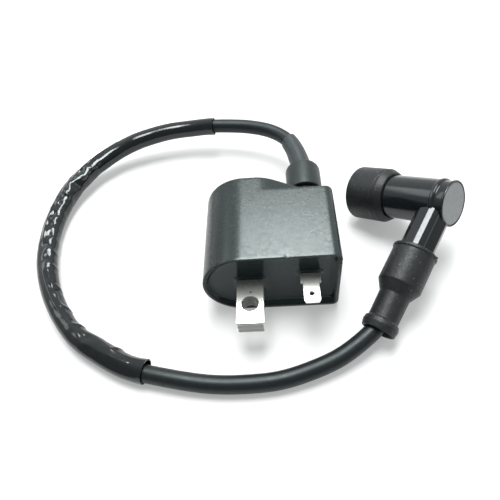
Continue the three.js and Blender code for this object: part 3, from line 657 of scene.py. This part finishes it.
# ---------------------------------------------------------------- lead, sleeve and grommet
def tube_loops(along, radii, sides):
    """Loops round the lead's centreline. radii is one number, or an array of along by sides."""
    points, inward, up = lead_frames(along)
    angles = np.linspace(0, 2 * math.pi, sides, endpoint=False)
    radii = np.broadcast_to(np.asarray(radii, float), (len(along), sides))
    spokes = np.cos(angles)[None, :, None] * inward[:, None] + np.sin(angles)[None, :, None] * up[:, None]
    return points[:, None] + radii[:, :, None] * spokes


def make_lead():
    along = np.linspace(0, LEAD_LENGTH, 440)
    return Build().loft(tube_loops(along, LEAD_RADIUS, 32)).piece(
        "lead", MATERIALS["lead_jacket"], "coil", replaced=["ht_lead"], slot="lead_jacket", sharp=60,
    )


def pockets(along, angles):
    """Relief of a crumpled skin, from 0 on the creases to 1 in the middle of each hollow between them."""
    rows = int((along[-1] - along[0]) / POCKET_PITCH) + 3
    arc_length = 2 * math.pi * SLEEVE_SNUG
    cell = arc_length / POCKETS_ROUND
    centres = []
    for i in range(rows):
        for j in range(POCKETS_ROUND):
            row = along[0] + (i - 1 + rng.uniform(-POCKET_SCATTER, POCKET_SCATTER)) * POCKET_PITCH
            column = (j + 0.5 * (i % 2) + rng.uniform(-POCKET_SCATTER, POCKET_SCATTER)) * cell
            centres.extend((row, column + turn * arc_length) for turn in (-1, 0, 1))
    centres = np.array(centres)
    around = angles * SLEEVE_SNUG
    relief = np.zeros((len(along), len(angles)))
    for i, place in enumerate(along):
        near = centres[np.abs(centres[:, 0] - place) < 2.6 * POCKET_PITCH]
        lengthwise = (near[:, 0] - place)[:, None] * cell / POCKET_PITCH
        gaps = np.hypot(lengthwise, near[:, 1][:, None] - around[None, :])
        gaps.partition(1, axis=0)
        relief[i] = np.clip((gaps[1] - gaps[0]) / (0.75 * cell), 0, 1)
    return relief


def sleeve_relief(along, angles):
    """How far the sleeve's skin is from the lead's centreline, all round and all along."""
    reach = np.interp(along, *zip(*SLEEVE_INNER_REACH))[:, None]
    crumple = np.interp(along, *zip(*SLEEVE_CRUMPLE))[:, None]
    inner_side = np.clip(np.cos(angles - SLEEVE_INNER_ANGLE), 0, 1)[None, :]
    radius = SLEEVE_SNUG + (reach - SLEEVE_SNUG) * inner_side**1.3
    side = np.clip(0.3 + np.cos(angles - SLEEVE_CRUMPLED_ANGLE), 0, 1)[None, :] ** 0.7
    radius = radius + crumple * side * (0.4 * (1 - pockets(along, angles)) - 0.15)
    for start, end, from_angle, to_angle, height, width in SLEEVE_FOLDS:
        share = np.clip((along - start) / (end - start), 0, 1)
        middle = from_angle + (to_angle - from_angle) * share
        strength = height * np.sin(math.pi * share) ** 0.5
        turn = np.angle(np.exp(1j * (angles[None, :] - middle[:, None])))
        radius = radius + strength[:, None] * np.exp(-np.abs(turn / width) ** 1.5)
    for place, middle, half_length, half_width, depth in SLEEVE_DENTS:
        turn = np.angle(np.exp(1j * (angles - middle)))
        gap = ((along - place) / half_length)[:, None] ** 2 + (turn / half_width)[None, :] ** 2
        radius = radius - depth * np.exp(-(gap**0.8))
    soft = np.array([1, 2, 3, 2, 1]) / 9
    padded = np.pad(radius, ((2, 2), (0, 0)), mode="edge")
    radius = sum(share * padded[k:k + len(along)] for k, share in enumerate(soft))
    return np.maximum(radius, LEAD_RADIUS + SLEEVE_WALL - 0.1)


def make_sleeve():
    start, end = SLEEVE_REACH
    sides = 96
    along = np.linspace(start, end, 600)
    angles = np.linspace(0, 2 * math.pi, sides, endpoint=False)
    outer = sleeve_relief(along, angles)
    ends = np.exp(-(end - along) / 5) + 0.7 * np.exp(-(along - start) / 3)
    outer = outer + ends[:, None] * SLEEVE_FLARE * (1 + np.cos(angles - SLEEVE_INNER_ANGLE))[None, :]
    outside = tube_loops(along, outer, sides)
    outside[:, :, 2] = np.maximum(outside[:, :, 2], SLEEVE_REST)
    deep = np.concatenate([
        np.linspace(end, end - 6, 8), np.linspace(end - 16, start + 16, 24), np.linspace(start + 6, start, 8),
    ])
    skin = np.stack([np.interp(deep, along, outer[:, k]) for k in range(sides)], 1) - SLEEVE_WALL
    near_end = (deep > end - 7) | (deep < start + 7)
    skin[~near_end] = LEAD_RADIUS + 0.1
    inside = tube_loops(deep, np.clip(skin, LEAD_RADIUS + 0.1, None), sides)
    inside[:, :, 2] = np.maximum(inside[:, :, 2], SLEEVE_REST + 0.25)
    return Build().loft([*outside, *inside], round_trip=True).piece(
        "sleeve", MATERIALS["vinyl_sleeve"], "coil", replaced=["lead_sleeve"], slot="vinyl_sleeve", sharp=55,
    )


def make_grommet():
    """The tube is straighter than the lead inside it, and tapers from the collar to its open end."""
    start, end = GROMMET_REACH
    collar = COLLAR_BACK - LEAD_ROUTE[0][1]
    bore = LEAD_RADIUS + 0.1
    profile = filleted(
        [(start, bore), (start, GROMMET_RADIUS), (collar - 1, GROMMET_RADIUS), (collar, GROMMET_SKIN),
         (end, GROMMET_TIP), (end, bore)],
        [0, 0, 0.4, 0.4, 0.4, 0.1], 6,
    )
    line = []
    for a, b in zip(profile, profile[1:]):
        steps = max(1, int((b - a).length / 0.5))
        line.extend(a.lerp(b, k / steps) for k in range(steps))
    line.append(profile[-1])
    along = np.array([p[0] for p in line])
    loops = tube_loops(along, np.array([p[1] for p in line])[:, None], 48)
    share = np.clip((along - collar) / (end - collar), 0, 1)[:, None]
    first, last = lead_points(np.array([collar, end], float))
    straighter = GROMMET_STIFFNESS * (first + share * (last - first) - lead_points(along)) * (share > 0)
    return Build().loft(loops + straighter[:, None], cap_start=False, cap_end=False).piece(
        "grommet", MATERIALS["tube_rubber"], "coil", replaced=["lead_grommet"], slot="black_rubber", sharp=50,
    )


# ---------------------------------------------------------------- case, resin, leg and spade
OUTLINE_DRUM_STEPS = 72
OUTLINE_SIDE_POINTS = 150


def resampled(line, count):
    """A polyline as count points spread evenly along it, without its last point."""
    line = np.array([tuple(p) for p in line], float)
    along = np.concatenate([[0], np.cumsum(np.linalg.norm(np.diff(line, axis=0), axis=1))])
    wanted = np.linspace(0, along[-1], count, endpoint=False)
    return np.stack([np.interp(wanted, along, line[:, k]) for k in range(2)], 1)


def drum_arc():
    return arc(DRUM_X, DRUM_RADIUS, DRUM_RADIUS, 90, 270, OUTLINE_DRUM_STEPS)[:-1]


def case_outline():
    side = np.vstack([
        [(DRUM_X, 0)],
        arc(CASE_RIGHT - BOTTOM_CORNER, BOTTOM_CORNER, BOTTOM_CORNER, -90, 0, 12),
        arc(CASE_RIGHT - TOP_CORNER, CASE_HEIGHT - TOP_CORNER, TOP_CORNER, 0, 90, 12),
        [(DRUM_X, CASE_HEIGHT)],
    ])
    return np.vstack([drum_arc(), resampled(side, OUTLINE_SIDE_POINTS)])


def hump_outline():
    web = TOWER_Z + WEB_RADIUS
    corners = np.array([
        (HUMP_CROWN_X, CASE_HEIGHT), (HUMP_CROWN_X + 8, CASE_HEIGHT), (TOWER_X - 8, web + 1.6),
        (TOWER_X, web),
    ])
    t = np.linspace(0, 1, 25)[:, None]
    fall = (1 - t) ** 3 * corners[0] + 3 * t * (1 - t) ** 2 * corners[1] + 3 * t**2 * (1 - t) * corners[2]
    fall += t**3 * corners[3]
    lower = [(x, CASE_HEIGHT - z) for x, z in fall]
    upper = list(reversed(fall.tolist()))
    side = [(DRUM_X, 0), *lower[:-1], *arc(TOWER_X, TOWER_Z, WEB_RADIUS, -90, 90, 24), *upper[1:],
            (DRUM_X, CASE_HEIGHT)]
    return np.vstack([drum_arc(), resampled(side, OUTLINE_SIDE_POINTS)])


def at_depth(outline, y):
    return np.column_stack([outline[:, 0], np.full(len(outline), y), outline[:, 1]])


def case_loops():
    case, hump = case_outline(), hump_outline()
    case_drop = distance_to_loop(case[:, 0], case[:, 1], hump)[0][:, None]
    hump_drop = distance_to_loop(hump[:, 0], hump[:, 1], case)[0][:, None]
    wall = offset_loop(case, CASE_WALL)
    rim = 0.22
    loops = [at_depth(wall, RESIN_FRONT + 1), at_depth(wall, CASE_FRONT + rim)]
    loops.append(at_depth(offset_loop(case, CASE_WALL - rim), CASE_FRONT))
    loops.append(at_depth(offset_loop(case, rim), CASE_FRONT))
    loops.append(at_depth(offset_loop(case, rim * 0.3), CASE_FRONT + rim * 0.3))
    loops.append(at_depth(case, CASE_FRONT + rim))
    for y in np.linspace(CASE_FRONT + 1.5, CASE_BACK - 1.5, 12):
        loops.append(at_depth(case, y))
    edge, fillet, share = 0.5, 0.5, 0.2
    for angle in np.radians((0, 22, 45, 68, 90)):
        inset = np.minimum(edge, share * case_drop) * (1 - math.cos(angle))
        loops.append(at_depth(offset_loop(case, inset), CASE_BACK - edge + edge * math.sin(angle)))
    for angle in np.radians((0, 22, 45, 68, 90)):
        outset = np.minimum(fillet, share * hump_drop) * (1 - math.sin(angle))
        loops.append(at_depth(offset_loop(hump, -outset), CASE_BACK + fillet * (1 - math.cos(angle))))
    for y in np.linspace(CASE_BACK + 2, HUMP_BACK - 2.2, 4):
        loops.append(at_depth(hump, y))
    back = 1.3
    for angle in np.radians((0, 15, 30, 45, 60, 75, 90)):
        inset = back * (1 - math.cos(angle))
        loops.append(at_depth(offset_loop(hump, inset), HUMP_BACK - back + back * math.sin(angle)))
    for loop in loops[1:6]:
        on_top = loop[:, 2] > CASE_HEIGHT - CASE_WALL - 0.5
        loop[:, 2] -= RIM_NICK_DEPTH * on_top * np.exp(-(((loop[:, 0] - RIM_NICK_X) / RIM_NICK_WIDTH) ** 2))
    return loops


def make_case():
    build = Build().loft(case_loops(), cap_start=False)
    neck = filleted(
        [(HUMP_BACK - 1, NECK_RADIUS + 1.5), (HUMP_BACK, NECK_RADIUS + 1), (HUMP_BACK + 1, NECK_RADIUS),
         (NECK_END, NECK_RADIUS), (NECK_END, 0.05)], 0.5)
    build.lathe(neck, (TOWER_X, 0, TOWER_Z), (0, 1, 0), (1, 0, 0), (0, 0, 1), 48, closed=False)
    return build.piece(
        "case", MATERIALS["case_plastic"], "coil", replaced=["coil_case"], slot="case_plastic", sharp=40,
    )


def distance_to_box(x, z, centre, half):
    dx = np.maximum(np.abs(x - centre[0]) - half[0], 0)
    dz = np.maximum(np.abs(z - centre[1]) - half[1], 0)
    return np.hypot(dx, dz)


def distance_to_loop(x, z, loop):
    """The distance from each point to a closed outline, and whether the point is inside it."""
    a, b = loop, np.roll(loop, -1, 0)
    points = np.stack([x, z], 1)
    nearest = np.full(len(points), 1e9)
    inside = np.zeros(len(points), bool)
    for p, q in zip(a, b):
        d = q - p
        t = np.clip(((points - p) @ d) / max(d @ d, 1e-12), 0, 1)
        nearest = np.minimum(nearest, np.linalg.norm(points - (p + t[:, None] * d), axis=1))
        crosses = (p[1] > z) != (q[1] > z)
        with np.errstate(divide="ignore", invalid="ignore"):
            meets = p[0] + (z - p[1]) * d[0] / d[1]
        inside ^= crosses & (x < meets)
    return nearest, inside


def meniscus(gap, height, reach, power):
    return height * np.exp(-((gap / reach) ** power))


def make_resin():
    """The poured face: it climbs the case's wall, and the leg and the spade, in a meniscus."""
    pitch = 0.3
    wall = offset_loop(case_outline(), CASE_WALL)
    xs = np.arange(CASE_LEFT + 0.8, CASE_RIGHT - 0.7, pitch)
    zs = np.arange(0.8, CASE_HEIGHT - 0.7, pitch)
    x, z = (g.ravel() for g in np.meshgrid(xs, zs))
    gap, inside = distance_to_loop(x, z, wall)
    core_z = CORE_TOP - LAMINATIONS * LAMINATION_PITCH / 2
    leg = distance_to_box(x, z, (CORE_X, core_z), (CORE_WIDTH / 2, LAMINATIONS * LAMINATION_PITCH / 2))
    spade = distance_to_box(
        x, z, (SPADE_X, SPADE_TOP - SPADE_THICKNESS / 2), (SPADE_SHOULDER_WIDTH / 2, SPADE_THICKNESS / 2))
    y = RESIN_FRONT - meniscus(gap, 1.8, 1.15, 1.3) - meniscus(leg, 0.75, 1.1, 1.5) \
        - meniscus(spade, 0.65, 0.9, 1.5)
    keep = inside | (gap < 0.8)
    number = np.cumsum(keep) - 1
    index = np.where(keep, number, -1).reshape(len(zs), len(xs))
    corners = np.stack([index[:-1, :-1], index[:-1, 1:], index[1:, 1:], index[1:, :-1]], -1).reshape(-1, 4)
    faces = corners[(corners >= 0).all(1)]
    vertices = np.stack([x, y, z], 1)[keep]
    return add_piece(
        "resin_face", vertices, faces, MATERIALS["potting_resin"], "coil", replaced=["potting_resin"],
        slot="potting_resin", sharp=60,
    )


def circle(x, y, radius, steps):
    return arc(x, y, radius, 0, 360, steps)[:-1]


def make_leg():
    """The core's laminations, each a little out of line with the next."""
    build = Build()
    for i in range(LAMINATIONS):
        top = CORE_TOP - i * LAMINATION_PITCH
        shift = Vector((rng.normal(0, 0.03), rng.normal(0, 0.04)))
        left, right = CORE_X - CORE_WIDTH / 2, CORE_X + CORE_WIDTH / 2
        outline = filleted(
            [(left, LEG_END), (right, LEG_END), (right, CORE_END), (left, CORE_END)], [0.7, 0.7, 0.1, 0.1], 5,
            closed=True)
        outline = [(p.x + shift.x, p.y + shift.y) for p in outline]
        hole = circle(CORE_X + shift.x, BOLT_HOLE_Y + shift.y, BOLT_HOLE_RADIUS, 56)
        edge = 0.12 if i == 0 else 0.07
        plate_shell(build, outline, hole, top - LAMINATION_THICKNESS, top, edge)
    return build.piece(
        "core_leg", MATERIALS["core_steel"], "coil", slot="core_steel", sharp=15,
        replaced=[f"core_lamination_{i + 1:02d}" for i in range(LAMINATIONS)],
    )


def make_spade():
    blade, shoulder = SPADE_WIDTH / 2, SPADE_SHOULDER_WIDTH / 2
    half = [(shoulder, SPADE_TAIL), (shoulder, SPADE_SHOULDER), (blade, SPADE_SHOULDER),
            (blade, SPADE_END + 1.3), (blade - 0.65, SPADE_END)]
    outline = [(SPADE_X - x, y) for x, y in half] + [(SPADE_X + x, y) for x, y in reversed(half)]
    radii = [0.1, 0.5, 0.3, 0.3, 0.3, 0.3, 0.3, 0.3, 0.5, 0.1]
    outline = [tuple(p) for p in filleted(outline, radii, 4, closed=True)]
    build = Build()
    plate_shell(build, outline, circle(SPADE_X, SPADE_HOLE_Y, SPADE_HOLE_RADIUS, 32),
                SPADE_TOP - SPADE_THICKNESS, SPADE_TOP, 0.14)
    return build.piece(
        "spade", MATERIALS["tinned_brass"], "coil", replaced=["spade_terminal"], slot="tinned_brass",
        sharp=15,
    )


def make_collar():
    profile = filleted([
        (COLLAR_FRONT, NECK_RADIUS + 0.2), (COLLAR_FRONT, COLLAR_RADIUS), (COLLAR_BACK, COLLAR_RADIUS),
        (COLLAR_BACK, GROMMET_SKIN + 0.1), (COLLAR_BACK - 2.2, GROMMET_SKIN + 0.1),
        (COLLAR_BACK - 2.2, NECK_RADIUS + 0.2),
    ], [0.2, 0.8, 1.9, 0.6, 0.2, 0.2], 8, closed=True)
    return Build().lathe(profile, (TOWER_X, 0, TOWER_Z), (0, 1, 0), (1, 0, 0), (0, 0, 1), 72).piece(
        "collar", MATERIALS["black_rubber"], "coil", replaced=["tower_collar"], slot="black_rubber", sharp=50,
    )


# ---------------------------------------------------------------- plug cap
def barrel_lathe(build, profile, segments, closed=True):
    return build.lathe(profile, CAP_ELBOW, CAP_X, CAP_Y, CAP_Z, segments, closed)


def leg_lathe(build, profile):
    return build.lathe(profile, CAP_ELBOW, CAP_Y, CAP_Z, CAP_X, 72)


def make_cap_body():
    build = Build()
    barrel_lathe(build, filleted([
        (BARREL_MOUTH, BARREL_BORE), (BARREL_BORE_END, BARREL_BORE), (BARREL_BORE_END, CONTACT_BORE),
        (CHAMBER_START, CONTACT_BORE), (CHAMBER_START, CHAMBER_RADIUS), (DISC_BACK - GAP, CHAMBER_RADIUS),
        (DISC_BACK - GAP, DISC_RADIUS + GAP), (BARREL_END, DISC_RADIUS + GAP), (BARREL_END, BARREL_RADIUS),
        (5.35, BARREL_RADIUS), (5.1, END_NECK_RADIUS), (2.2, END_NECK_RADIUS), (1.7, END_RING_RADIUS),
        (0.5, END_RING_RADIUS), (0.1, BARREL_RADIUS), (BARREL_MOUTH, BARREL_RADIUS),
    ], [0.2, 0.1, 0.1, 0.1, 0.1, 0.1, 0.1, 0.12, 0.45, 0.15, 0.3, 0.6, 0.5, 0.6, 0.3, 0.5], 4, True), 96)
    corners = [*LEG_EDGE_ANGLES, *(a + 180 for a in LEG_EDGE_ANGLES)]
    turns = np.radians(corners)
    outline = LEG_RADIUS * np.column_stack([np.cos(turns), np.sin(turns)])
    outline = filleted(outline, 1.2, 4, closed=True)
    loops = []
    for along in (-LEG_LENGTH, -LEG_LENGTH + 0.4, *np.linspace(-34, -5.2, 12)):
        shrink = 0.95 if along == -LEG_LENGTH else 1.0
        loop = []
        for p in outline:
            under_disc = 0.3 - math.sqrt(BARREL_RADIUS**2 - p.y**2)
            end = min(along, under_disc) if p.x > DISC_BACK - 1 else along
            loop.append(CAP_ELBOW + end * CAP_Y + shrink * (p.x * CAP_X + p.y * CAP_Z))
        loops.append(loop)
    build.loft(loops)
    return build.piece(
        "cap_shell", MATERIALS["bakelite"], "plug_cap", replaced=["cap_body"], slot="bakelite", sharp=28,
    )


def make_disc():
    profile = filleted([(DISC_BACK, 0.02), (DISC_BACK, DISC_RADIUS), (DISC_FRONT, DISC_RADIUS),
                        (DISC_FRONT - 0.08, 0.02)], [0, 0.1, 0.25, 0], 4)
    rings = []
    for a, b in zip(profile, profile[1:]):
        steps = max(1, int((a - b).length / 0.8))
        rings.extend(a.lerp(b, k / steps) for k in range(steps))
    rings.append(profile[-1])
    return barrel_lathe(Build(), rings, 80, closed=False).piece(
        "cap_disc", MATERIALS["epoxy_disc"], "plug_cap", replaced=["cap_end_disc"], slot="epoxy_disc",
        sharp=50,
    )


def make_plug_boot():
    mouth, back, outer, lip = PLUG_BOOT_MOUTH, PLUG_BOOT_BACK, PLUG_BOOT_RADIUS, PLUG_BOOT_LIP
    grip = BARREL_RADIUS + 0.05
    profile = filleted([
        (mouth, lip + 0.3), (mouth, lip + 2.4), (mouth + 0.6, lip + 2.7), (mouth + 0.6, outer - 1),
        (mouth + 1.4, outer), (back - 4.5, outer), (back - 4.1, outer - 0.35), (back - 3.7, outer),
        (back - 2.8, outer), (back, outer - 1.5), (back, grip), (BARREL_MOUTH - 0.3, grip),
        (BARREL_MOUTH - 0.3, PLUG_BOOT_CAVITY), (mouth + 4.6, PLUG_BOOT_CAVITY), (mouth + 4.6, lip),
        (mouth + 0.5, lip),
    ], [0.3, 0.4, 0.3, 0.4, 0.9, 0.3, 0.3, 0.3, 0.8, 0.6, 0.2, 0.1, 0.3, 0.3, 0.3, 0.4], 6, closed=True)
    return barrel_lathe(Build(), profile, 96).piece(
        "plug_rubber", MATERIALS["boot_rubber"], "boot", replaced=["plug_boot"], slot="black_rubber",
        sharp=50,
    )


def make_cable_boot():
    back, mouth = CABLE_BOOT_BACK, CABLE_BOOT_MOUTH
    big, small, flange = CABLE_BOOT_RADIUS, CABLE_BOOT_SMALL, CABLE_BOOT_FLANGE
    grip = LEG_RADIUS + 0.05
    profile = filleted([
        (back, grip), (back, big + 0.3), (back - 1.3, big + 0.3), (back - 1.6, big - 0.1), (back - 15.8, big),
        (back - 20.2, small), (back - 30.8, small - 0.15), (back - 31.3, flange - 0.2),
        (back - 33, flange + 0.15), (mouth, flange - 0.3),
        (mouth, 5.7), (-55, 4.6), (-49.5, LEAD_RADIUS + 0.15), (-LEG_LENGTH - 0.8, LEAD_RADIUS + 0.15),
        (-LEG_LENGTH - 0.8, grip),
    ], [0.2, 0.6, 0.5, 0.3, 1, 1, 0.6, 1, 1.5, 1.2, 0.5, 2, 1, 0.2, 0.2], 6, closed=True)
    build = leg_lathe(Build(), profile)
    flash = [(-0.5, 0.02), (-0.3, 0.5), (0.35, 0.42), (0.75, 0.3), (0.8, 0.02)]
    ring = CAP_ELBOW + (back - 0.7) * CAP_Y + (big + 0.3) * CAP_X
    build.lathe(flash, ring, CAP_X, CAP_Y, CAP_Z, 16, closed=False)
    return build.piece(
        "cable_rubber", MATERIALS["boot_rubber"], "plug_cap", replaced=["cable_boot"], slot="black_rubber",
        sharp=50,
    )


# ---------------------------------------------------------------- carried-over CAD nodes
def dress_cad_nodes():
    slots = {entry["node"]: entry["material_slot"] for entry in frame["record"]["subparts"]}
    for name, node in frame["nodes"].items():
        node.data.materials.clear()
        node.data.materials.append(MATERIALS[slots[name]])


# ---------------------------------------------------------------- stage
FLOOR_GLOW = 0.31
FLOOR_HALF = 3.0


def make_floor():
    """White paper that glows a little, so the shadows on it stay faint."""
    m = Material("floor_paper", (0.48, 0.48, 0.48), 0.9, emission_strength=FLOOR_GLOW)
    m.shader.inputs["Emission Color"].default_value = (0.98, 1, 0.995, 1)
    m.shader.inputs["Specular IOR Level"].default_value = 0.1
    m.tint(m.ramp(m.noise(60, 3), 0.4, 0.7, 0, 0.3), (0.46, 0.465, 0.46))
    m.gloss(m.noise(20, 3), 0.85, 0.95)
    mesh = bpy.data.meshes.new("floor")
    corners = [(x * FLOOR_HALF, y * FLOOR_HALF, 0) for x, y in ((-1, -1), (1, -1), (1, 1), (-1, 1))]
    mesh.from_pydata(corners, [], [(0, 1, 2, 3)])
    mesh.materials.append(m.made)
    floor = bpy.data.objects.new("floor", mesh)
    bpy.context.scene.collection.objects.link(floor)


LIGHTS_AIM = Vector((0, 0, 0.02))


def softbox(name, azimuth, elevation, distance, size, radiance):
    """A rectangular light in a direction from the part, azimuth from +Y towards +X, sized in metres."""
    a, e = math.radians(azimuth), math.radians(elevation)
    data = bpy.data.lights.new(name, "AREA")
    data.shape = "RECTANGLE"
    data.size, data.size_y = size
    data.energy = radiance * math.pi * size[0] * size[1]
    light = bpy.data.objects.new(name, data)
    bpy.context.scene.collection.objects.link(light)
    light.location = Vector((math.sin(a) * math.cos(e), math.cos(a) * math.cos(e), math.sin(e))) * distance
    light.rotation_euler = (LIGHTS_AIM - light.location).to_track_quat("-Z", "Y").to_euler()


def make_lights():
    softbox("top", -16, 77.5, 1.0, (0.46, 0.42), 21)
    softbox("back", 2.5, 56, 1.0, (0.36, 0.24), 17)
    softbox("left", -61, 35, 1.0, (0.56, 0.24), 2.7)
    softbox("right", 102, 42, 1.2, (0.45, 0.55), 1.8)
    world = bpy.data.worlds.new("world")
    bpy.context.scene.world = world
    world.use_nodes = True
    tree = world.node_tree
    background = tree.nodes["Background"]
    background.inputs["Color"].default_value = (0.97, 1, 1, 1)
    place = tree.nodes.new("ShaderNodeTexCoord")
    split = tree.nodes.new("ShaderNodeSeparateXYZ")
    spread = tree.nodes.new("ShaderNodeMapRange")
    spread.interpolation_type = "SMOOTHSTEP"
    spread.inputs["From Min"].default_value = -0.5
    spread.inputs["From Max"].default_value = 0.6
    spread.inputs["To Min"].default_value = 0.3
    spread.inputs["To Max"].default_value = 0.95
    tree.links.new(place.outputs["Generated"], split.inputs[0])
    tree.links.new(split.outputs["Y"], spread.inputs["Value"])
    tree.links.new(spread.outputs["Result"], background.inputs["Strength"])
    bpy.context.scene.view_settings.view_transform = "Standard"


# ---------------------------------------------------------------- the scene
make_camera()
lead = make_lead()
sleeve = make_sleeve()
cap_parts = [make_cap_body(), make_disc(), make_cable_boot(), make_plug_boot()]
make_grommet()
make_case()
make_resin()
make_leg()
make_spade()
make_collar()
dress_cad_nodes()
make_floor()
make_lights()
